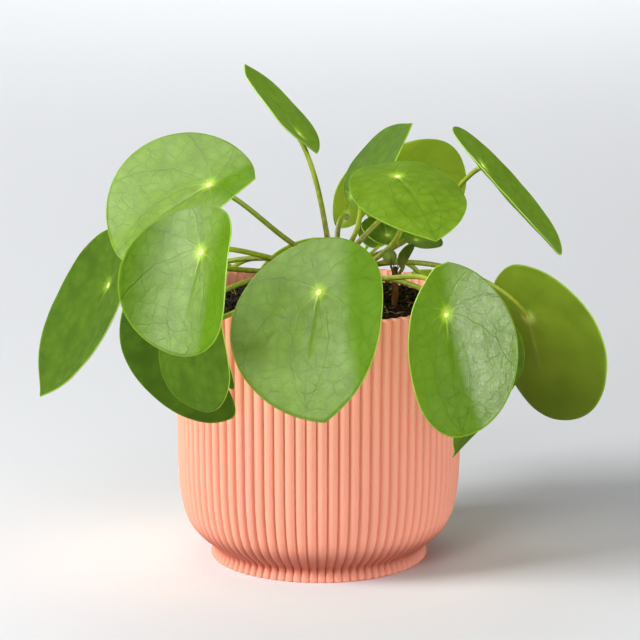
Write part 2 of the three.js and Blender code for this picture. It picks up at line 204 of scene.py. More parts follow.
def finish_piece(bm, name, materials, slot, *nodes, group=None):
    """Makes a smooth object of a bmesh, rides it on the plant's one body and lets it stand for its nodes."""
    bmesh.ops.scale(bm, vec=(MM, MM, MM), verts=bm.verts)
    mesh = bpy.data.meshes.new(name)
    bm.to_mesh(mesh)
    bm.free()
    mesh.shade_smooth()
    piece = bpy.data.objects.new(name, mesh)
    bpy.context.scene.collection.objects.link(piece)
    (group or others).objects.link(piece)
    if name != "blade_front_left":
        casters.objects.link(piece)
    for material in materials:
        mesh.materials.append(material)
    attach(piece, "root")
    if nodes:
        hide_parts(*nodes)
    return piece


# %% [markdown]
# ## White sweep
#
# The plant stands on a sweep, a floor that turns up into the backdrop with no edge. It is one strip of
# matte paper. Two points draw its flat floor, an arc turns it up, and extruding that line sideways makes
# the sheet. It isn't part of the plant.

# %% White sweep
FLOOR_FRONT, FLOOR_BACK = -2600, 3700
SWEEP_RADIUS, SWEEP_TOP, SWEEP_HALF_WIDTH = 900, 3200, 4200
SWEEP_STEPS = 16


def make_sweep():
    """The floor and backdrop, as one bent sheet."""
    bm = bmesh.new()
    line = [(FLOOR_FRONT, 0)]
    for step in range(SWEEP_STEPS + 1):
        turn = math.pi / 2 * step / SWEEP_STEPS
        line.append((FLOOR_BACK + SWEEP_RADIUS * math.sin(turn), SWEEP_RADIUS * (1 - math.cos(turn))))
    line.append((FLOOR_BACK + SWEEP_RADIUS, SWEEP_TOP))
    points = [bm.verts.new((-SWEEP_HALF_WIDTH * MM, y * MM, z * MM)) for y, z in line]
    edges = [bm.edges.new(pair) for pair in zip(points, points[1:])]
    moved, _ = extrude_rim(bm, edges)
    bmesh.ops.translate(bm, vec=(2 * SWEEP_HALF_WIDTH * MM, 0, 0), verts=moved)
    bmesh.ops.recalc_face_normals(bm, faces=bm.faces)
    mesh = bpy.data.meshes.new("sweep")
    bm.to_mesh(mesh)
    bm.free()
    mesh.shade_smooth()
    paper, _, _ = new_material(
        "matte white paper", Base_Color=linear("#e8ebee"), Roughness=0.9, Specular_IOR_Level=0.1
    )
    mesh.materials.append(paper)
    sweep = bpy.data.objects.new("sweep", mesh)
    bpy.context.scene.collection.objects.link(sweep)
    others.objects.link(sweep)
    print("sweep:", len(mesh.polygons), "faces")


make_sweep()

# %% [markdown]
# ## Pot finish: matte coloured stoneware
#
# The pot has a dull, even, powdery coat. A rough surface gives a broad soft sheen with no hot spots, and a
# grain of half a millimetre, hardly visible, keeps the light on it from looking like plastic. The colour
# drifts slightly from place to place, as a sprayed coat does, and painted shade darkens it in the grooves
# and in the hollow above the foot. An attribute of the points, `painted_shade`, says where that is.

# %% Pot finish
def make_pot_finish():
    """Stoneware under a sprayed matte coat: dull, finely grained, with painted shade in its hollows."""
    material, tree, shader = new_material("matte_coral_stoneware", Roughness=0.62)
    place = add_node(tree, "TexCoord", output="Object")
    drift = add_node(tree, "TexNoise", {"Vector": place, "Scale": 0.018 / MM, "Detail": 2.0})
    painted_shade = add_node(tree, "Attribute", output="Fac", attribute_name="painted_shade")
    # Painted shade: the coat is painted darker in the grooves and at the waist, where shade falls.
    painted_shade_mask = add_node(tree, "MapRange", [painted_shade, 0.1, 1.0, 0.0, 0.9], **SMOOTH)
    coat = paint(tree, "#ee9a80", (drift, 1, "#f3a389"), (painted_shade_mask, 1, "#a9543d"))
    grain = add_node(tree, "TexNoise", {"Vector": place, "Scale": 1 / (0.5 * MM), "Detail": 2.0})
    bump = add_node(tree, "Bump", {"Height": grain, "Strength": 0.12, "Distance": 0.1 * MM})
    tree.links.new(coat, shader.inputs["Base Color"])
    tree.links.new(bump, shader.inputs["Normal"])
    return material


pot_finish = make_pot_finish()
print("finish:", pot_finish.name)

# %% [markdown]
# ## Ribbed pot
#
# The pot is a turned shell whose wall is folded into 84 upright ribs that run from the rim over the waist
# to the foot. A ring of points is extruded from row to row, out and up the outside, over the thin rim and
# down the inside, and the last row closes on the axis. Then every point moves in or out with its place on
# its rib. The columns crowd together at the grooves, so the grooves stay crisp with few points.

# %% The pot's sizes
RIB_COUNT = 84
COLUMNS_PER_RIB = 8
GROOVE_AT_FRONT = -0.8  # degrees from straight ahead to the nearest groove
GROOVE_DEPTH = 2.0
GROOVE_CROWDING = 0.72  # 0 spaces the columns evenly, 1 gathers them at the grooves
RIB_FULLNESS = 2.6  # 2 gives round ribs, more gives flatter ones
RIBS_FROM = 53  # the shell is plain nearer to its axis than this
INNER_WALL, INNER_RIBS_FROM = 73, 60  # its radius, and the height from which its ribs are shallow
INNER_DEPTH = 0.45  # the grooves' depth there, beside 1 outside
FOOT_DEPTH, FOOT_REACH = 0.55, 12  # their depth at the foot's edge, and over what height that grows
POT_RIM = (138, 73.5)
# The outside: [height, radius over the crests], from the foot's edge to the rim.
POT_OUTSIDE = [
    (0, 55.7), (0.5, 56.4), (1.8, 56.3), (3.4, 55.5), (5, 55), (6.6, 55.4), (8.2, 56.9), (10, 59.3),
    (12, 61.8), (14, 63.8), (17, 66.4), (20, 68.2), (25, 70.2), (30, 71.4), (38, 72.5), (50, 73.2),
    (70, 73.4), (90, 73.6), (110, 73.9), (130, 74.4), (136.6, 74.6), (137.6, 74.4),
]
POT_INSIDE = [
    (137.6, 72.6), (136.8, 72.1), (133, 71.9), (128, 71.7), (50, 70.4), (25, 66.3), (13, 59.3), (3, 50),
]
FOOT_RING = [(1.6, 46), (1.2, 51), (0, 52.5)]  # under the pot: a shallow recess and the ring it stands on
WAIST_HEIGHT = 9
WAIST_SPREAD = (6, 12)  # how far the painted shade at the waist reaches below and above that
GROOVE_SHADE = 0.45  # how deep the painted shade in the grooves is, beside 1 at the waist
print("pot:", POT_RIM[0], "mm high,", RIB_COUNT, "ribs")


# %% Ribbed pot
def crest(share):
    """How far out a rib stands: 0 in its groove, 1 along its crest, from the share of the way across it."""
    return 1 - abs(2 * share - 1) ** RIB_FULLNESS


def fold_into_rib(vert, painted_shade):
    """Moves a point of the turned shell to its place on a rib, and notes how much painted shade it gets."""
    # Painted shade lies at the waist and, above the foot, in each groove.
    above = vert.co.z - WAIST_HEIGHT
    waist = math.exp(-((above / WAIST_SPREAD[above > 0]) ** 2))
    vert[painted_shade] = waist
    radius = math.hypot(vert.co.x, vert.co.y)
    if radius < RIBS_FROM:
        return
    groove_angle = math.radians(GROOVE_AT_FRONT - 90)
    turns = (math.atan2(vert.co.y, vert.co.x) - groove_angle) / (2 * math.pi) * RIB_COUNT
    rib, share = divmod(turns, 1)
    share -= GROOVE_CROWDING * math.sin(2 * math.pi * share) / (2 * math.pi)
    angle = groove_angle + (rib + share) * 2 * math.pi / RIB_COUNT
    is_inside = radius < INNER_WALL and vert.co.z > INNER_RIBS_FROM
    depth = GROOVE_DEPTH * (INNER_DEPTH if is_inside else min(1, FOOT_DEPTH + vert.co.z / FOOT_REACH))
    vert[painted_shade] = max(waist, GROOVE_SHADE * (1 - crest(share)))
    reach = radius - depth * (1 - crest(share))
    vert.co.x, vert.co.y = reach * math.cos(angle), reach * math.sin(angle)


def make_pot():
    """The ribbed shell, with a rim about two millimetres thick."""
    bm = bmesh.new()
    painted_shade = bm.verts.layers.float.new("painted_shade")
    rows = [*FOOT_RING, *POT_OUTSIDE, POT_RIM, *POT_INSIDE]
    columns = RIB_COUNT * COLUMNS_PER_RIB
    bmesh.ops.create_circle(bm, segments=columns, radius=rows[0][1], cap_ends=True, cap_tris=True)
    bmesh.ops.translate(bm, vec=(0, 0, rows[0][0]), verts=bm.verts)
    rim = [edge for edge in bm.edges if edge.is_boundary]
    for (_, last_radius), (height, radius) in zip(rows, rows[1:]):
        ring, rim = extrude_rim(bm, rim)
        bmesh.ops.scale(bm, vec=(radius / last_radius, radius / last_radius, 1), verts=ring)
        for vert in ring:
            vert.co.z = height
    middle, _ = extrude_rim(bm, rim)
    bmesh.ops.pointmerge(bm, verts=middle, merge_co=(0, 0, rows[-1][0]))
    for vert in bm.verts:
        fold_into_rib(vert, painted_shade)
    bmesh.ops.recalc_face_normals(bm, faces=bm.faces)
    print("pot:", len(bm.faces), "faces")
    finish_piece(bm, "ribbed_pot", [pot_finish], "pot_coral", "pot", group=pots)


make_pot()

# %% [markdown]
# ## Leaf finish
#
# A pilea's blade is a thin, slightly fleshy sheet. Its upper side is smooth and a little waxy, so it
# mirrors the lamp as a pale, blurred sheen. Main nerves run out from the yellow dot where the stalk meets
# it and curve towards the tip, and between them lies a net of fine sunken veins, with cells about 7 mm
# wide. Light passes through the blade: what is lit from behind glows yellow-green.
#
# All of this is drawn on the blade's own flat map, which is laid out in millimetres round the stalk's
# joint. So the nerves are worked out from an angle and a distance, and they bend with the blade.

# %% The blade's map, nerves and nets
MAP_SPAN = 150  # millimetres of flat blade across the whole map, with the stalk's joint in its middle
NERVE_SPACING = 0.72  # radians between neighbouring main nerves at the joint
NERVE_CURVE = 0.0125  # radians a millimetre by which they turn towards the tip
NET_CELL, FINE_NET_CELL = 7.5, 2.7
NET_LINE = (0.01, 0.1)  # how wide a vein is, in its dark middle and in all, as shares of a cell
WANDER_SIZE, WANDER_REACH = 9, 5  # over what length and by how much the nerves and nets stray
DOT_RADIUS = 1.5


def blade_pattern(tree):
    """What both sides of a blade are drawn from: its place, its nerves, its nets and its attributes."""
    flat = add_node(tree, "UVMap", uv_map="flat_blade")
    spread = [flat, (MAP_SPAN, MAP_SPAN, 0), (-MAP_SPAN / 2, -MAP_SPAN / 2, 0)]
    place = add_node(tree, "VectorMath", spread, operation="MULTIPLY_ADD")
    wander = add_node(tree, "TexNoise", {"Vector": place, "Scale": 1 / WANDER_SIZE, "Detail": 2.0}, "Color")
    stray = [wander, (WANDER_REACH, WANDER_REACH, 0), (-WANDER_REACH / 2, -WANDER_REACH / 2, 0)]
    shift = add_node(tree, "VectorMath", stray, operation="MULTIPLY_ADD")
    warped = add_node(tree, "VectorMath", [place, shift], operation="ADD")
    distance = add_node(tree, "VectorMath", [place], "Value", operation="LENGTH")

    from_tip = []  # the angle from the tip's direction, on the warped map and on the straight one
    for vector in (warped, place):
        aside, ahead = (add_node(tree, "SeparateXYZ", [vector], axis) for axis in "YX")
        angle = add_node(tree, "Math", [aside, ahead], operation="ARCTAN2")
        from_tip.append(add_node(tree, "Math", [angle], operation="ABSOLUTE"))
    bent = add_node(tree, "Math", [distance, NERVE_CURVE, from_tip[0]], operation="MULTIPLY_ADD")
    off_nerve = add_node(tree, "Math", [bent, NERVE_SPACING / 2], operation="PINGPONG")
    from_side = add_node(tree, "Math", [off_nerve, distance], operation="MULTIPLY")
    from_middle = add_node(tree, "Math", [from_tip[1], distance], operation="MULTIPLY")

    nets = []
    for cell in (NET_CELL, FINE_NET_CELL):
        from_vein = add_node(
            tree, "TexVoronoi", {"Vector": warped, "Scale": 1 / cell}, "Distance",
            feature="DISTANCE_TO_EDGE", voronoi_dimensions="2D",
        )
        nets.append(add_node(tree, "MapRange", [from_vein, *NET_LINE, 1.0, 0.0], **SMOOTH))
    gaps = add_node(tree, "TexNoise", {"Vector": place, "Scale": 1 / 7, "Detail": 1.0})
    gaps = add_node(tree, "MapRange", [gaps, 0.35, 0.65, 0.3, 1.0], **SMOOTH)
    cells = {"Vector": warped, "Scale": 1 / NET_CELL}
    pattern = {
        "place": place,
        "distance": distance,
        "side_nerves": add_node(tree, "MapRange", [from_side, 0.15, 0.75, 1.0, 0.0], **SMOOTH),
        "middle_nerve": add_node(tree, "MapRange", [from_middle, 0.2, 0.9, 1.0, 0.0], **SMOOTH),
        "net": add_node(tree, "Math", [nets[0], gaps], operation="MULTIPLY"),
        "fine_net": nets[1],
        "cell_middle": add_node(tree, "TexVoronoi", cells, "Distance", voronoi_dimensions="2D"),
    }
    for attribute in ("rim_share", "age_and_shade", "dull_and_shaded"):
        pattern[attribute] = add_node(tree, "Attribute", output="Fac", attribute_name=attribute)
    return pattern


print("nerves:", round(math.degrees(NERVE_SPACING)), "degrees apart; net cells:", NET_CELL, "mm")


# %% [markdown]
# The upper side starts from a fresh green that deepens with the leaf's age. The same value also holds
# painted shade for blades that lie in shadow, and painted light for the one lit from behind. The cells of
# the net are paler in their middles, their veins are darker, and the nerves near the dot are pale. The same
# masks, added up as a height, sink the veins and puff the cells between them.
#
# Two waxes are made: a fresh one that mirrors, and one that has worn off. Even a fresh blade mirrors only
# where it tilts to the lamp. Tilts of a few degrees are too fine for the form, so an attribute,
# `dull_and_shaded`, marks the parts of a blade that turn away: they mirror little, and a painted shade
# gives them a deeper green.

# %% Upper side of a leaf
def let_light_through(tree, shader, colour, share, normal):
    """Mixes in the light that comes through from the other side of the sheet."""
    glow = add_node(tree, "BsdfTranslucent", {"Color": colour, "Normal": normal})
    sheet = add_node(tree, "MixShader", [share, shader.outputs[0], glow])
    tree.links.new(sheet, tree.nodes["Material Output"].inputs["Surface"])


def make_upper_side(name, gloss, roughness):
    """A leaf skin over a net of sunken veins: `gloss` is how strongly its wax mirrors, and how dully."""
    material, tree, shader = new_material(name)
    blade = blade_pattern(tree)
    place, distance, age_and_shade = blade["place"], blade["distance"], blade["age_and_shade"]
    patches = add_node(tree, "TexNoise", {"Vector": place, "Scale": 1 / 16, "Detail": 3.0})
    patches = add_node(tree, "MapRange", [patches, 0.3, 0.7], **SMOOTH)
    puffed = add_node(tree, "MapRange", [blade["cell_middle"], 0.0, 0.55, 0.3, 0.0], **SMOOTH)
    # On the small old leaves the dot, its halo and the nerves near it are dull.
    bright = add_node(tree, "MapRange", [age_and_shade, 0.86, 0.95, 1.0, 0.25], **SMOOTH)
    near = add_node(tree, "MapRange", [distance, DOT_RADIUS, 16.0, 0.5, 0.0], **SMOOTH)
    near = add_node(tree, "Math", [near, bright], operation="MULTIPLY")
    halo = add_node(tree, "MapRange", [distance, DOT_RADIUS, DOT_RADIUS + 4.5, 0.5, 0.0], **SMOOTH)
    dot = add_node(tree, "MapRange", [distance, DOT_RADIUS * 0.6, DOT_RADIUS * 1.3, 1.0, 0.0], **SMOOTH)
    faint = add_node(tree, "Math", [blade["side_nerves"], 0.4], operation="MULTIPLY")
    nerves = add_node(tree, "Math", [faint, blade["middle_nerve"]], operation="MAXIMUM")
    rim = add_node(tree, "MapRange", [blade["rim_share"], 0.985, 0.998, 0.0, 0.5], **SMOOTH)
    # The ground green follows the age value, which also holds painted shade and the painted glow.
    skin = paint(
        tree, paint(tree, "#76981a", (age_and_shade, 1, "#2b4305")),
        (patches, 1, paint(tree, "#83a527", (age_and_shade, 1, "#375309"))),
        (puffed, 1.2, paint(tree, "#8db63c", (age_and_shade, 1, "#44680f"))),
        # Painted shade: the parts that turn away from the lamp get a deeper green.
        (blade["dull_and_shaded"], 0.5, "#426c09"),
        (blade["net"], 0.22, "#2c4a0c"),
        (blade["fine_net"], 0.1, "#35560f"),
        (blade["side_nerves"], 0.2, "#2f4e0d"),
        (blade["middle_nerve"], 0.3, "#35560f"),
        (nerves, near, "#b9d04e"),
        (halo, bright, "#b9dd45"),
        (dot, bright, "#f7ff9a"),
        (rim, 1, "#8fb32a"),
    )
    tree.links.new(skin, shader.inputs["Base Color"])

    shine = add_node(tree, "MapRange", [blade["dull_and_shaded"], 0.0, 1.0, gloss, 0.1 * gloss], **SMOOTH)
    tree.links.new(shine, shader.inputs["Specular IOR Level"])
    wear = add_node(tree, "TexNoise", {"Vector": place, "Scale": 1 / 5, "Detail": 3.0})
    dullness = add_node(tree, "MapRange", [wear, 0.2, 0.8, roughness, roughness + 0.12], **SMOOTH)
    tree.links.new(dullness, shader.inputs["Roughness"])

    wrinkles = add_node(tree, "TexNoise", {"Vector": place, "Scale": 1 / 3, "Detail": 3.0})
    height = 0.0
    for mask, rise in (
        (puffed, 0.9), (blade["net"], -0.2), (blade["fine_net"], -0.08), (blade["side_nerves"], -0.3),
        (wrinkles, 0.9),
    ):
        height = add_node(tree, "Math", [mask, rise, height], operation="MULTIPLY_ADD")
    bump = add_node(tree, "Bump", {"Height": height, "Strength": 0.65, "Distance": 0.5 * MM})
    tree.links.new(bump, shader.inputs["Normal"])
    let_light_through(tree, shader, "#8ab31a", 0.2, bump)
    return material


waxy_side = make_upper_side("leaf_waxy_upper_side", 0.5, 0.38)
matte_side = make_upper_side("leaf_matte_upper_side", 0.1, 0.62)
print("finishes:", waxy_side.name, "and", matte_side.name)

# %% [markdown]
# The underside is duller and more olive. Its nerves stand out instead of being sunken, and they are paler
# than the skin between them. The cut edge is a thin, bright, yellow-green line all round the blade: pale,
# moist tissue.

# %% Underside and edge of a leaf
def make_under_side():
    """A dull olive leaf skin with raised, paler nerves."""
    material, tree, shader = new_material("leaf_dull_underside", Roughness=0.6, Specular_IOR_Level=0.3)
    blade = blade_pattern(tree)
    distance, age_and_shade = blade["distance"], blade["age_and_shade"]
    patches = add_node(tree, "TexNoise", {"Vector": blade["place"], "Scale": 1 / 22, "Detail": 2.0})
    patches = add_node(tree, "MapRange", [patches, 0.3, 0.7], **SMOOTH)
    faint = add_node(tree, "Math", [blade["side_nerves"], 0.3], operation="MULTIPLY")
    nerves = add_node(tree, "Math", [faint, blade["middle_nerve"]], operation="MAXIMUM")
    fade = add_node(tree, "MapRange", [distance, 5.0, 45.0, 0.7, 0.15], **SMOOTH)
    halo = add_node(tree, "MapRange", [distance, DOT_RADIUS, 6.0, 0.85, 0.0], **SMOOTH)
    rim = add_node(tree, "MapRange", [blade["rim_share"], 0.98, 0.996, 0.0, 0.7], **SMOOTH)
    # The ground olive follows the age value, which also holds painted shade.
    skin = paint(
        tree, paint(tree, "#b4d038", (age_and_shade, 1, "#476609")),
        (patches, 1, paint(tree, "#c0dc48", (age_and_shade, 1, "#678713"))),
        (blade["net"], 0.12, "#5f7612"),
        (nerves, fade, "#9aac44"),
        (halo, 1, "#cfdc7e"),
        (rim, 1, "#9cc23c"),
    )
    tree.links.new(skin, shader.inputs["Base Color"])
    height = add_node(tree, "Math", [nerves, fade], operation="MULTIPLY")
    height = add_node(tree, "Math", [blade["net"], 0.15, height], operation="MULTIPLY_ADD")
    bump = add_node(tree, "Bump", {"Height": height, "Strength": 0.6, "Distance": 0.35 * MM})
    tree.links.new(bump, shader.inputs["Normal"])
    let_light_through(tree, shader, "#c0da30", 0.4, bump)
    return material


under_side = make_under_side()
pale_edge, _, _ = new_material("leaf_pale_edge", Roughness=0.45, Base_Color=linear("#86a82a"))
print("finishes:", under_side.name, "and", pale_edge.name)

# %% [markdown]
# ## The leaves' places
#
# Every leaf has one row of values, in millimetres and degrees, the same as in the solid model.
# `LEAF_VALUES` names its columns. `at` is where the stalk meets the blade; `head`, `dip` and `roll` turn
# the blade: the compass heading of its tip (0 is +X, 90 is +Y), how far the tip points down, and the turn
# about that line. `tip`, `base`, `left` and `right` are the reaches of the rim from the joint, and `wide`
# is how far ahead of the joint the blade is widest. `bend` curls the tip down, `cup` the sides, `twist`
# turns the tip, and `wave` lifts and lowers the rim. Each of the `corners` is an angle from the tip, a
# share by which the rim is drawn out there, or in where it is below 0, and its width in degrees.
#
# The stalk leaves the stem at heading `turn` and height `start`, climbing at `rise` degrees; `leave` and
# `arrive` say how stiffly it keeps its direction at either end, and `slant` leans it towards the tip where
# it meets the blade.

# %% The leaves' places
LEAF_VALUES = (
    "at", "head", "dip", "roll", "tip", "base", "wide", "left", "right", "bend", "cup", "twist", "wave",
    "turn", "start", "rise", "leave", "arrive", "slant",
)
LEAF_ROWS = dict(
    front_middle=((-0.5, -86, 156), -112, 56, 11, 60, 30, 17, 39, 46, 41, 0, 4, 0.8, -97, 153, 32, 34, 26, 0),
    front_left=(
        (-57, -84, 175), -131, 69, 5, 51, 23, 14, 37, 40, 9, -83, -15, 0.5, -143, 150, 14, 48, 18, 32,
    ),
    front_right=((62, -82, 144), -62, 85, -10, 60, 22, 18, 39, 27, -20, -23, 9, 0.6, -51, 147, 2, 49, 30, 80),
    upper_left=(
        (-55.5, -22, 198), -171, 31, -24, 58, 24, 19, 37, 45, 15, -59, 1, 0.5, -165, 154, 21, 29, 25, 36,
    ),
    far_left=((-108, -9, 144), -165, 65, -9, 59, 31, 7, 32, 40, -22, -31, -8, 0.6, -175, 147, 2, 51, 32, 54),
    upper_middle=((39.5, -12, 201), -71, 13, 5, 53, 23, 14, 29, 28, 34, 31, -3, 0.8, -20, 149, 24, 46, 14, 0),
    far_right=((112, 45, 116), 46, 70, -7, 66, 31, 16, 26, 43, -6, -3, 4, 0.6, 10, 149, 16, 45, 26, 72),
    high_right=((87.5, 55, 196), 5, 49, 12, 63, 26, 22, 28, 46, -5, -31, 1, 0.4, 17, 153, 8, 50, 22, 10),
    high_left=(
        (-9.5, 15, 218.5), 154, -46, 14, 41, 12, 10, 26, 30, -1, -9, -4, 0.4, 145, 159, 79, 25, 18, 80,
    ),
    low_left=((-68.5, -60, 140.5), -29, 63, 80, 59, 25, 12, 14, 37, 23, 0, 5, 0.8, -156, 145, 19, 44, 14, -8),
    hanging_left=(
        (-60, -84, 139.5), -127, 85, 13, 44, 21, 20, 26, 29, 26, 1, -2, 0.6, -129, 141, 12, 42, 17, -2,
    ),
    behind_middle=((53, 66, 193), 86, 51, -15, 51, 23, 14, 32, 26, 16, 10, 1, 0.5, 16, 158, 48, 24, 20, 30),
    back_upper=((18, 38, 184.5), -8, -53, 22, 43, 6, 16, 30, 25, 6, 0, -5, 0.5, 50, 158, 40, 14, 10, 20),
    back_inner=((13.5, 76, 165), 8, -69, -42, 33, 7, 13, 23, 16, -2, 0, -3, 0.5, 93, 153, 33, 47, 4, -1),
    tucked_right=(
        (78.5, -62, 123.5), -50, 79, -13, 52, 19, 21, 44, 25, 55, 0, -18, 0.6, -29, 145.5, 9, 50, 29, 49,
    ),
    small_dark=((28, 56, 161), -75, 30, 0, 13, 8, 4, 8, 8, 25, 10, 0, 0.3, 68, 148, 10, 26, 10, -25),
    small_grey=((36, 37, 162), 100, -30, 0, 16, 8, 5, 13, 15, 10, -20, 0, 0.3, 45, 146, 25, 18, 8, -30),
    back_middle=((-3, 91, 129), 95, 72, 0, 58, 24, 15, 34, 36, 14, -10, 5, 0.6, 108, 147, 24, 50, 34, 60),
    back_left=((-78, 46, 134), 142, 66, 8, 48, 22, 12, 28, 32, 16, -18, 0, 0.6, 162, 152, 6, 52, 26, 55),
    back_right=((62, 90, 114), 65, 78, -6, 52, 20, 14, 32, 33, 8, -8, 0, 0.6, 52, 142, 16, 48, 34, 70),
    back_low_left=((-57, 86, 118), 128, 84, 5, 48, 20, 12, 28, 28, 10, 0, -5, 0.6, 140, 144, 14, 48, 32, 70),
    young_right=((50, 7, 165), -2, 7, 24, 14, 6, 3, 9, 7, 10, 0, 0, 0.2, 10, 144, 60, 8, 6, 20),
    young_folded=((42, -5, 154), 25, -55, -60, 12, 2, 4, 5, 5, 0, -70, 0, 0, -50, 145, 60, 3, 2, 30),
    young_tiny=((36, -13, 159), -110, -70, 10, 5, 3, 1, 3.5, 3.5, 0, -30, 0, 0, -120, 145, 70, 4, 2, 45),
)
CORNERS = dict(
    front_middle=[(15, 0.09, 22)],
    front_right=[(180, 0.13, 22), (197, 0.11, 15)],
    upper_left=[(150, 0.14, 10)],
    far_left=[(0, 0.13, 14)],
    upper_middle=[(0, 0.09, 14)],
    high_left=[(0, 0.14, 17), (180, 0.15, 12)],
    low_left=[(30, -0.2, 7)],
    back_upper=[(0, 0.11, 15)],
    tucked_right=[(0, 0.17, 10)],
)
STALK_RADIUS = 1.4
THIN_STALKS = dict(small_dark=0.9, small_grey=0.9, young_right=0.8, young_folded=0.7, young_tiny=0.6)
LEAVES = {
    name: dict(
        zip(LEAF_VALUES, row), corners=CORNERS.get(name, ()), young=name.startswith("young"),
        stalk=THIN_STALKS.get(name, STALK_RADIUS),
    )
    for name, row in LEAF_ROWS.items()
}
# How old each blade looks, from 0, fresh and yellowish, to 1, deep green, with painted light and shade in
# it: blades in shadow are set darker, and the blade lit from behind is set fresh for its glow. The others
# are half way.
AGES_AND_SHADES = dict(
    front_middle=0.58, front_left=0.6, front_right=0.6, upper_left=0.5, far_left=0.92, upper_middle=0.46,
    far_right=0.7, high_left=0.58, high_right=0.64, low_left=1.0, hanging_left=0.88, behind_middle=0.0,
    back_upper=0.85, back_inner=1.0, tucked_right=1.0, small_grey=0.95, small_dark=0.95, young_right=0.3,
    young_folded=0.8, young_tiny=0.8,
)
HALF_WAY = 0.5
# The blades whose wax has worn off, so that they mirror little.
MATTE_LEAVES = {
    "far_left", "upper_middle", "high_left", "high_right", "low_left", "hanging_left", "back_upper",
    "back_inner", "tucked_right",
}
# The parts of a blade that mirror less than the rest and are painted a deeper green for shade. Each is one
# ramp over the flat blade, or what two cover together: (heading, start, end) in degrees from the tip and in
# millimetres from the joint.
DULL_AND_SHADED_PARTS = dict(
    front_middle=[[(106, 8, 20)]],
    front_left=[[(90, 9, 17)], [(-90, 12, 40)]],
    front_right=[[(-80, -8, 2)]],
    upper_left=[[(90, 0, 6), (180, -8, 6)]],
)
print("leaves:", len(LEAVES), "of which matte:", len(MATTE_LEAVES))


# %% [markdown]
# ## Bending a flat blade
#
# A blade is drawn flat first and bent afterwards. Along its length and across its width it follows an arc,
# so its area stays right, and a slight twist turns the tip. The frame of a blade is three directions: ahead
# to the tip, to its left side, and up out of its upper face.

# %% Bending a flat blade
BLADE_THICKNESS = 0.6
DIMPLE = 1.4  # how far the blade dips in at the stalk's joint


def blade_frame(leaf):
    """The blade's directions: ahead, to its left, and up."""
    head, dip, roll = (math.radians(leaf[turn]) for turn in ("head", "dip", "roll"))
    ahead = Vector((math.cos(head) * math.cos(dip), math.sin(head) * math.cos(dip), -math.sin(dip)))
    level = Vector((-math.sin(head), math.cos(head), 0))
    upright = ahead.cross(level)
    side = level * math.cos(roll) + upright * math.sin(roll)
    up = upright * math.cos(roll) - level * math.sin(roll)
    return ahead, side, up


def curl(distance, rate):
    """How far along and how far down a strip reaches that curls by `rate` radians each millimetre."""
    if abs(rate) < 1e-6:
        return distance, 0
    return math.sin(rate * distance) / rate, -(1 - math.cos(rate * distance)) / rate


def blade_point(leaf, x, y, lift):
    """The point `lift` above the blade's middle surface, from its place (x, y) on the flat blade."""
    ahead, side, up = blade_frame(leaf)
    length = leaf["tip"] + leaf["base"]
    bend_rate = math.radians(leaf["bend"]) / length
    cup_rate = math.radians(leaf["cup"]) / (leaf["left"] + leaf["right"])
    along, drop = curl(x, bend_rate)
    across, sag = curl(y, cup_rate)
    across += lift * math.sin(cup_rate * y)
    sag += lift * math.cos(cup_rate * y)
    turn = math.radians(leaf["twist"]) * x / length
    aside = across * math.cos(turn) - sag * math.sin(turn)
    height = across * math.sin(turn) + sag * math.cos(turn)
    reach = along + math.sin(bend_rate * x) * height
    rise = drop + math.cos(bend_rate * x) * height
    return Vector(leaf["at"]) + ahead * reach + side * aside + up * rise


front_leaf = LEAVES["front_middle"]
front_tip = blade_point(front_leaf, front_leaf["tip"], 0, 0)
print("front middle leaf: tip at", [round(part) for part in front_tip], "mm")

# %% [markdown]
# ## Growing the blades
#
# The rim of a flat blade is two half ovals end to end, drawn out or in at its corners. A disc grows from
# the joint to that rim, and its map is laid while it is flat. Then each point gets its place on the bent
# blade, lifted by the dimple at the joint, the crease along the middle nerve, the gentle quilting between
# the nerves and the wave of the rim. A Solidify modifier gives the sheet its thickness, and its material
# offsets put the other two finishes on the underside and the edge.

# %% A blade's rim, relief and dull, painted-shade parts
CREASE_DEPTH, CREASE_WIDTH = 1.3, 1.5
QUILT_HEIGHT, QUILT_SIZE = 0.7, 13
DIMPLE_WIDTH = 5
GROWN_LENGTH = 90  # a smaller blade has a lower crease and quilting


def rim_reach(leaf, angle):
    """The flat place of the rim at this angle round the joint."""
    ahead, aside = math.cos(angle), math.sin(angle)
    x = leaf["wide"] + ahead * (leaf["tip"] - leaf["wide"] if ahead > 0 else leaf["base"] + leaf["wide"])
    y = aside * (leaf["left"] if aside > 0 else leaf["right"])
    reach = 1
    for corner, share, width in leaf["corners"]:
        away = math.acos(max(-1, min(1, math.cos(angle - math.radians(corner)))))
        reach += share * math.exp(-away / math.radians(width))
    return x * reach, y * reach


def surface_lift(leaf, x, y, share, angle, seed):
    """How far a point of the blade lies above its smooth bent form."""
    distance = math.hypot(x, y)
    size = (leaf["tip"] + leaf["base"]) / GROWN_LENGTH
    wave = leaf["wave"] * share**2 * math.sin(4 * angle + leaf["head"])
    dimple = -DIMPLE * math.exp(-distance / DIMPLE_WIDTH)
    ahead = x / leaf["tip"]
    fade = max(0, min(1, 4 * ahead)) * max(0, 1 - 1.3 * ahead)
    crease = -CREASE_DEPTH * size * fade * math.exp(-((y / CREASE_WIDTH) ** 2))
    quilt = QUILT_HEIGHT * size * noise.noise(Vector((x / QUILT_SIZE, y / QUILT_SIZE, seed)))
    return wave + dimple + crease + quilt * min(1, distance / 12) * (1 - 0.5 * share)


def dullness(parts, x, y):
    """How fully a place on the flat blade lies in one of its dull, painted-shade parts, from 0 to 1."""
    fullest = 0
    for ramps in parts:
        share = 1
        for heading, start, end in ramps:
            reach = x * math.cos(math.radians(heading)) + y * math.sin(math.radians(heading))
            share *= max(0, min(1, (reach - start) / (end - start)))
        fullest = max(fullest, share)
    return fullest


print("front middle leaf: rim", round(rim_reach(front_leaf, 0)[0]), "mm ahead of the joint")


# %% Growing the blades
BLADE_SEGMENTS = 120
BLADE_RINGS = 30


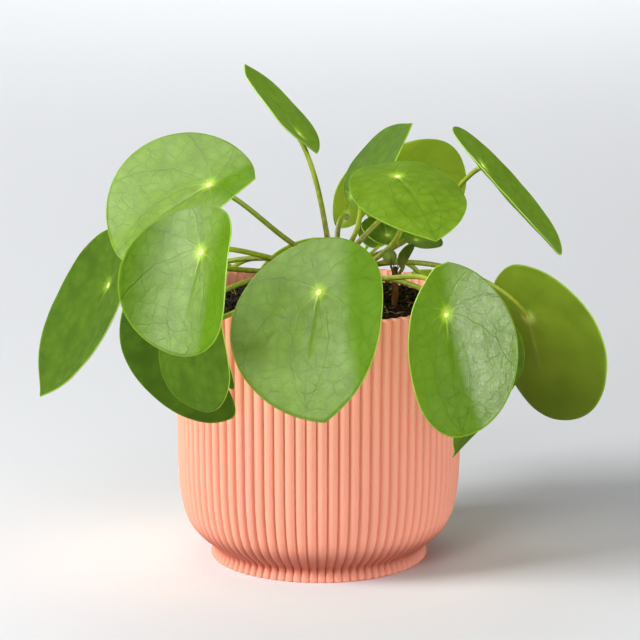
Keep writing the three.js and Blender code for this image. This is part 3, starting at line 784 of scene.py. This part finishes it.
def grow_blade(name, leaf, seed):
    """One blade, from a fan at the joint to the rim."""
    bm = bmesh.new()
    rim_share = bm.verts.layers.float.new("rim_share")
    age_and_shade = bm.verts.layers.float.new("age_and_shade")
    dull_and_shaded = bm.verts.layers.float.new("dull_and_shaded")
    flat_map = bm.loops.layers.uv.new("flat_blade")
    grow_disc(bm, 1, BLADE_SEGMENTS, BLADE_RINGS)
    bmesh.ops.recalc_face_normals(bm, faces=bm.faces)
    if bm.faces[:][0].normal.z < 0:
        bmesh.ops.reverse_faces(bm, faces=bm.faces)
    flat = {}
    for vert in bm.verts:
        share, angle = vert.co.length, math.atan2(vert.co.y, vert.co.x)
        x, y = (reach * share for reach in rim_reach(leaf, angle))
        flat[vert] = (x, y)
        vert[rim_share] = share
        vert[age_and_shade] = AGES_AND_SHADES.get(name, HALF_WAY)
        vert[dull_and_shaded] = dullness(DULL_AND_SHADED_PARTS.get(name, []), x, y)
        vert.co = blade_point(leaf, x, y, surface_lift(leaf, x, y, share, angle, seed))
    for face in bm.faces:
        for loop in face.loops:
            loop[flat_map].uv = [reach / MAP_SPAN + 0.5 for reach in flat[loop.vert]]
    finishes = [matte_side if name in MATTE_LEAVES else waxy_side, under_side, pale_edge]
    slot, group = ("young_green", others) if leaf["young"] else ("leaf_green", blades)
    piece = finish_piece(bm, f"blade_{name}", finishes, slot, f"leaf_{name}", group=group)
    sheet = piece.modifiers.new("thickness", "SOLIDIFY")
    sheet.thickness = BLADE_THICKNESS * MM
    sheet.offset = 0
    sheet.material_offset = 1
    sheet.material_offset_rim = 2


for seed, (name, leaf) in enumerate(LEAVES.items()):
    grow_blade(name, leaf, seed)
print("blades:", len(LEAVES), "of", BLADE_SEGMENTS * BLADE_RINGS, "faces each")


# %% [markdown]
# ## Stalk and stem finish
#
# A stalk is a smooth, juicy, half glossy rod. It is brownish olive where it leaves the stem and turns to
# light green near the blade, with fine streaks on it. The stem is old wood, brown and dull, and scarred
# where stalks have dropped.

# %% Stalk and stem finish
def make_stalk_skin(name, foot, top):
    """A smooth living skin whose colour goes from its foot to its top by the attribute `along`."""
    material, tree, shader = new_material(name, Roughness=0.4, Specular_IOR_Level=0.2)
    along = add_node(tree, "Attribute", output="Fac", attribute_name="along")
    place = add_node(tree, "TexCoord", output="Object")
    streaks = add_node(tree, "TexNoise", {"Vector": place, "Scale": 0.42 / MM, "Detail": 2.0})
    wander = add_node(tree, "Math", [streaks, 0.3, along], operation="MULTIPLY_ADD")
    ripe = add_node(tree, "MapRange", [wander, 0.1, 0.8], **SMOOTH)
    pale = add_node(tree, "MapRange", [streaks, 0.45, 0.75, 0.0, 0.25], **SMOOTH)
    at_blade = add_node(tree, "MapRange", [along, 0.95, 1.0, 0.0, 0.7], **SMOOTH)
    skin = paint(tree, foot, (ripe, 1, top), (pale, 1, "#a8ad3c"), (at_blade, 1, "#c6d05c"))
    tree.links.new(skin, shader.inputs["Base Color"])
    bump = add_node(tree, "Bump", {"Height": streaks, "Strength": 0.3, "Distance": 0.15 * MM})
    tree.links.new(bump, shader.inputs["Normal"])
    return material


def make_grainy(name, dark, light, edges, grain, bump_settings, **constants):
    """A dull material of dark and light grains, `grain` millimetres wide, that stand out as bumps."""
    material, tree, shader = new_material(name, **constants)
    place = add_node(tree, "TexCoord", output="Object")
    grains = add_node(tree, "TexNoise", {"Vector": place, "Scale": 1 / (grain * MM), "Detail": 4.0})
    lit = add_node(tree, "MapRange", [grains, *edges], **SMOOTH)
    tree.links.new(paint(tree, dark, (lit, 1, light)), shader.inputs["Base Color"])
    strength, distance = bump_settings
    bump = add_node(tree, "Bump", {"Height": grains, "Strength": strength, "Distance": distance * MM})
    tree.links.new(bump, shader.inputs["Normal"])
    return material


stalk_skin = make_stalk_skin("stalk_smooth_skin", "#4e4512", "#7f9122")
young_skin = make_stalk_skin("shoot_young_skin", "#8a5c36", "#a0a848")
# Old wood is cracked at a scale of about a millimetre.
bark = make_grainy(
    "stem_scarred_wood", "#4e3c22", "#8d7547", (0.35, 0.65), 1.4, (0.9, 0.5), Roughness=0.8
)
print("finishes:", stalk_skin.name, young_skin.name, "and", bark.name)

# %% [markdown]
# ## Stalks
#
# A stalk follows one smooth curve from the stem to the middle of its blade. Rings are set along that curve,
# each turned to face the next, and bridged into a tube. It is thickest at its foot, where it is sunk in the
# stem, and it flares again where it spreads into the blade.

# %% The stalks' curves
STEM_AXIS = (10, 2)
STEM_PROFILE = [(108, 5.2), (131, 5.8), (148, 5.2), (158, 4.6), (163, 2.6)]
SHOOT_AXIS = (39, -2)
SHOOT_PROFILE = [(116, 1.6), (134, 1.7), (147, 1.8), (152, 1)]
STALK_RINGS = 30
SUNK_DEPTH = 1.6  # how far a stalk goes on into the stem
FOOT_FLARE, BLADE_FLARE = (0.55, 0.06), (0.3, 0.02)  # by how much it is thicker there, and over what share
TAPER = 0.08


def radius_at(profile, height):
    """The radius of a turned piece at this height."""
    for (low, low_radius), (high, high_radius) in zip(profile, profile[1:]):
        if height <= high:
            return low_radius + (height - low) / (high - low) * (high_radius - low_radius)
    return profile[-1][1]


def stalk_path(leaf):
    """The points of a stalk's middle line, from inside the stem to the middle of the blade's sheet."""
    turn, rise, slant = (math.radians(leaf[value]) for value in ("turn", "rise", "slant"))
    radius = leaf["stalk"]
    outward = Vector((math.cos(turn), math.sin(turn), 0))
    axis = SHOOT_AXIS if leaf["young"] else STEM_AXIS
    reach = 0 if leaf["young"] else radius_at(STEM_PROFILE, leaf["start"]) + radius * math.sin(rise)
    foot = Vector((*axis, leaf["start"])) + outward * reach
    climb = outward * math.cos(rise) + Vector((0, 0, math.sin(rise)))
    ahead, _, up = blade_frame(leaf)
    inward = up * math.cos(slant) + ahead * math.sin(slant)
    top = blade_point(leaf, 0, 0, -DIMPLE - BLADE_THICKNESS / 2)
    points = geometry.interpolate_bezier(
        foot, foot + climb * leaf["leave"], top - inward * leaf["arrive"], top, STALK_RINGS
    )
    buried = [] if leaf["young"] else [foot - climb * SUNK_DEPTH]
    return buried + points


def stalk_radii(leaf, count):
    """Thick at the foot, slender on the way, and spreading at the blade."""
    radii = []
    for step in range(count):
        share = step / (count - 1)
        foot = FOOT_FLARE[0] * math.exp(-share / FOOT_FLARE[1])
        top = BLADE_FLARE[0] * math.exp(-(1 - share) / BLADE_FLARE[1])
        radii.append(leaf["stalk"] * (1 + foot + top - TAPER * share))
    return radii


front_path = stalk_path(front_leaf)
front_length = sum((b - a).length for a, b in zip(front_path, front_path[1:]))
print("front middle stalk:", round(front_length), "mm long")


# %% Stalks
STALK_SIDES = 14


def add_tube(bm, points, radii, sides, along=None):
    """Bridges rings set along a path into a closed tube, and writes each ring's share of the way on it."""
    ways = [(b - a).normalized() for a, b in zip(points, points[1:])]
    ways.append(ways[-1])
    turn = Vector((0, 0, 1)).rotation_difference(ways[0])
    last_edges = None
    for step, (point, radius) in enumerate(zip(points, radii)):
        if step:
            turn = ways[step - 1].rotation_difference(ways[step]) @ turn
        place = Matrix.LocRotScale(point, turn, None)
        is_end = step in (0, len(points) - 1)
        ring = bmesh.ops.create_circle(bm, segments=sides, radius=radius, cap_ends=is_end, matrix=place)
        edges = list({edge for vert in ring["verts"] for edge in vert.link_edges})
        if along is not None:
            for vert in ring["verts"]:
                vert[along] = step / (len(points) - 1)
        if last_edges:
            bmesh.ops.bridge_loops(bm, edges=last_edges + edges)
        last_edges = edges


def make_stalk(name, leaf):
    """One stalk, in the place of its node."""
    bm = bmesh.new()
    along = bm.verts.layers.float.new("along")
    points = stalk_path(leaf)
    add_tube(bm, points, stalk_radii(leaf, len(points)), STALK_SIDES, along)
    bmesh.ops.recalc_face_normals(bm, faces=bm.faces)
    finish_piece(bm, f"petiole_{name}", [stalk_skin], "stalk_green", f"stalk_{name}", group=blades)


grown = {name: leaf for name, leaf in LEAVES.items() if not leaf["young"]}
for name, leaf in grown.items():
    make_stalk(name, leaf)
print("stalks:", len(grown))

# %% [markdown]
# ## Stem
#
# The short woody stem is a tube of rings too, but its radius wobbles, and each stalk that was dropped has
# left an oval scar, a low rounded boss. The scars climb the stem in a spiral, as the leaves did.

# %% Stem
STEM_RINGS = 40
STEM_SIDES = 28
STEM_WOBBLE, STEM_KNOTS = 0.05, 0.12  # shares of its radius: ring by ring, and in lumps 3 mm wide
SCAR_COUNT = 16
SCAR_TURN = 137.5  # degrees from one leaf to the next on a growing stem
SCARS_FROM, SCARS_OVER = 133, 27
SCAR_SIZE = (1.9, 1.5, 1.0)


def make_stem():
    """The woody stem with its scars."""
    bm = bmesh.new()
    low, high = STEM_PROFILE[0][0], STEM_PROFILE[-1][0]
    heights = [low + (high - low) * step / (STEM_RINGS - 1) for step in range(STEM_RINGS)]
    radii = [radius_at(STEM_PROFILE, z) * (1 + STEM_WOBBLE * math.sin(z * 1.7)) for z in heights]
    add_tube(bm, [Vector((*STEM_AXIS, z)) for z in heights], radii, STEM_SIDES)
    for vert in bm.verts:
        vert.co += (vert.co - Vector((*STEM_AXIS, vert.co.z))) * STEM_KNOTS * noise.noise(vert.co / 3)
    for scar in range(SCAR_COUNT):
        z = SCARS_FROM + SCARS_OVER * scar / SCAR_COUNT
        turn = math.radians(scar * SCAR_TURN)
        outward = Vector((math.cos(turn), math.sin(turn), 0.15))
        middle = Vector((*STEM_AXIS, z)) + outward * (radius_at(STEM_PROFILE, z) - 0.5)
        place = Matrix.LocRotScale(middle, outward.to_track_quat("Z", "Y"), SCAR_SIZE)
        bmesh.ops.create_uvsphere(bm, u_segments=12, v_segments=6, radius=1, matrix=place)
    bmesh.ops.recalc_face_normals(bm, faces=bm.faces)
    finish_piece(bm, "woody_stem", [bark], "stem_brown", "stem")
    print("stem:", SCAR_COUNT, "scars")


make_stem()

# %% [markdown]
# ## Young shoot
#
# Beside the stem a side shoot has come up, a finger long, with three baby leaves on thin reddish stalks.
# Where they part sits a tuft of pinkish scales that protected the bud.

# %% Young shoot
SHOOT_RINGS = 16
SHOOT_BROWN = 0.1  # how far up the stalks' colours the little stem gets: it stays brown to its tip
BUD_HEIGHT = 148
SCALE_COUNT = 7
SCALE_LENGTH = 5


def make_shoot():
    """The little stem, its three thin stalks and its bud scales."""
    bm = bmesh.new()
    along = bm.verts.layers.float.new("along")
    low, high = SHOOT_PROFILE[0][0], SHOOT_PROFILE[-1][0]
    heights = [low + (high - low) * step / (SHOOT_RINGS - 1) for step in range(SHOOT_RINGS)]
    radii = [radius_at(SHOOT_PROFILE, z) for z in heights]
    add_tube(bm, [Vector((*SHOOT_AXIS, z)) for z in heights], radii, STALK_SIDES, along)
    for vert in bm.verts:
        vert[along] *= SHOOT_BROWN
    for leaf in LEAVES.values():
        if leaf["young"]:
            points = stalk_path(leaf)
            add_tube(bm, points, stalk_radii(leaf, len(points)), 10, along)
    for scale in range(SCALE_COUNT):
        turn = math.radians(scale * SCAR_TURN)
        outward = Vector((math.cos(turn), math.sin(turn), 1.8)).normalized()
        middle = Vector((*SHOOT_AXIS, BUD_HEIGHT)) + outward * 3
        place = Matrix.LocRotScale(middle, outward.to_track_quat("Z", "Y"), (1, 0.45, 1))
        bmesh.ops.create_cone(
            bm, cap_ends=True, segments=8, radius1=0.9, radius2=0.15, depth=SCALE_LENGTH, matrix=place
        )
    bmesh.ops.recalc_face_normals(bm, faces=bm.faces)
    finish_piece(bm, "side_shoot", [young_skin], "young_green", "shoot")
    print("shoot:", SCALE_COUNT, "bud scales")


make_shoot()

# %% [markdown]
# ## Soil
#
# Potting soil is dark peat, crumbs of all sizes, slivers of bark and pale root threads. They are all dull
# and damp, and grainy like the stem's wood, so they share its way of painting.
#
# A single bumpy sheet would look like felt, so the bed is only the ground of it: hundreds of crumbs with a
# few faces each lie on top. Every random draw comes from one seeded source, so the soil is the same each
# time.

# %% Soil finish
DAMP = dict(Roughness=0.92, Specular_IOR_Level=0.25)
soil_looks = {
    "soil_moist_peat": ("#1a1311", "#4a382e", (0.4, 0.62), 1.8, (1.0, 0.6)),
    "soil_bark_chips": ("#6e4220", "#b27a45", (0.4, 0.62), 2.5, (1.0, 0.6)),
    "soil_root_threads": ("#8d8a52", "#c9c089", (0.4, 0.62), 3.0, (1.0, 0.6)),
}
peat, chip_wood, root_skin = (make_grainy(name, *look, **DAMP) for name, look in soil_looks.items())
print("finishes:", peat.name, chip_wood.name, "and", root_skin.name)

# %% Soil bed
SOIL_LEVEL, SOIL_BOTTOM = 131, 100
SOIL_MOUND = 2.5  # how much higher it lies at the stem than at the wall
SOIL_EDGE = 70.6
SOIL_SEGMENTS, SOIL_RINGS = 96, 24


def soil_height(x, y):
    """The height of the soil's surface, mounded to the middle and uneven."""
    mound = SOIL_MOUND * (1 - math.hypot(x, y) / SOIL_EDGE)
    lumps = 1.3 * noise.noise(Vector((x / 9, y / 9, 3))) + 0.7 * noise.noise(Vector((x / 3, y / 3, 8)))
    return SOIL_LEVEL + mound + lumps


def make_soil_bed(bm):
    """A closed slab whose top is uneven."""
    rim = grow_disc(bm, SOIL_EDGE, SOIL_SEGMENTS, SOIL_RINGS)
    for vert in bm.verts:
        vert.co.z = soil_height(vert.co.x, vert.co.y)
    wall, rim = extrude_rim(bm, rim)
    for vert in wall:
        vert.co.z = SOIL_BOTTOM
    bottom, _ = extrude_rim(bm, rim)
    bmesh.ops.pointmerge(bm, verts=bottom, merge_co=(0, 0, SOIL_BOTTOM))


print("soil in the middle:", round(soil_height(0, 0), 1), "mm high")


# %% Crumbs, chips and roots
CRUMB_COUNT = 2600
CHIP_COUNT = 26
ROOT_COUNT = 26
ROOT_POINTS, ROOT_SIDES = 10, 6
draws = random.Random(14)


def soil_spot():
    """A random place on the soil, clear of the wall."""
    reach = (SOIL_EDGE - 1.5) * math.sqrt(draws.random())
    turn = draws.uniform(0, 2 * math.pi)
    return reach * math.cos(turn), reach * math.sin(turn)


def random_turn():
    """A turn to any side."""
    axis = Vector((draws.gauss(0, 1), draws.gauss(0, 1), draws.gauss(0, 1)))
    return Matrix.Rotation(draws.uniform(0, math.pi), 3, axis).to_quaternion()


def add_lump(bm, middle, turn, scale):
    """A lump with 20 faces, stretched to its size."""
    place = Matrix.LocRotScale(Vector(middle), turn, Vector(scale))
    bmesh.ops.create_icosphere(bm, subdivisions=1, radius=1, matrix=place)


def make_soil():
    """The bed with its crumbs, in the place of the soil's node."""
    bm = bmesh.new()
    make_soil_bed(bm)
    for _ in range(CRUMB_COUNT):
        x, y = soil_spot()
        size = 0.5 + 1.5 * draws.random() ** 2.5
        scale = [size * draws.uniform(0.6, 1.2) for _ in range(3)]
        add_lump(bm, (x, y, soil_height(x, y) + 0.2 * size), random_turn(), scale)
    bmesh.ops.recalc_face_normals(bm, faces=bm.faces)
    finish_piece(bm, "potting_soil", [peat], "soil_dark", "soil")


def make_chips():
    """Slivers of bark lying on the soil."""
    bm = bmesh.new()
    for _ in range(CHIP_COUNT):
        x, y = soil_spot()
        scale = (draws.uniform(2, 5), draws.uniform(0.7, 1.6), draws.uniform(0.3, 0.7))
        turned = Matrix.Rotation(draws.uniform(0, math.pi), 3, "Z")
        leant = turned @ Matrix.Rotation(draws.uniform(-0.4, 0.4), 3, "Y")
        add_lump(bm, (x, y, soil_height(x, y) + 0.8), leant.to_quaternion(), scale)
    finish_piece(bm, "bark_chips", [chip_wood], "soil_dark")


def make_roots():
    """Pale threads that rise out of the soil in low arcs and dive back into it."""
    bm = bmesh.new()
    for _ in range(ROOT_COUNT):
        x, y = soil_spot()
        turn, reach = draws.uniform(0, 2 * math.pi), draws.uniform(5, 14)
        across = Vector((math.cos(turn), math.sin(turn), 0)) * reach
        start = Vector((x, y, soil_height(x, y) - 1))
        end = start + across
        if math.hypot(end.x, end.y) > SOIL_EDGE - 2:
            continue
        end.z = soil_height(end.x, end.y) - 1
        lift = Vector((draws.uniform(-2, 2), draws.uniform(-2, 2), draws.uniform(2, 5)))
        points = geometry.interpolate_bezier(start, start + lift, end + lift, end, ROOT_POINTS)
        add_tube(bm, points, [draws.uniform(0.2, 0.45)] * ROOT_POINTS, ROOT_SIDES)
    bmesh.ops.recalc_face_normals(bm, faces=bm.faces)
    finish_piece(bm, "root_threads", [root_skin], "stem_brown")


make_soil()
make_chips()
make_roots()
print("soil:", CRUMB_COUNT, "crumbs,", CHIP_COUNT, "chips")
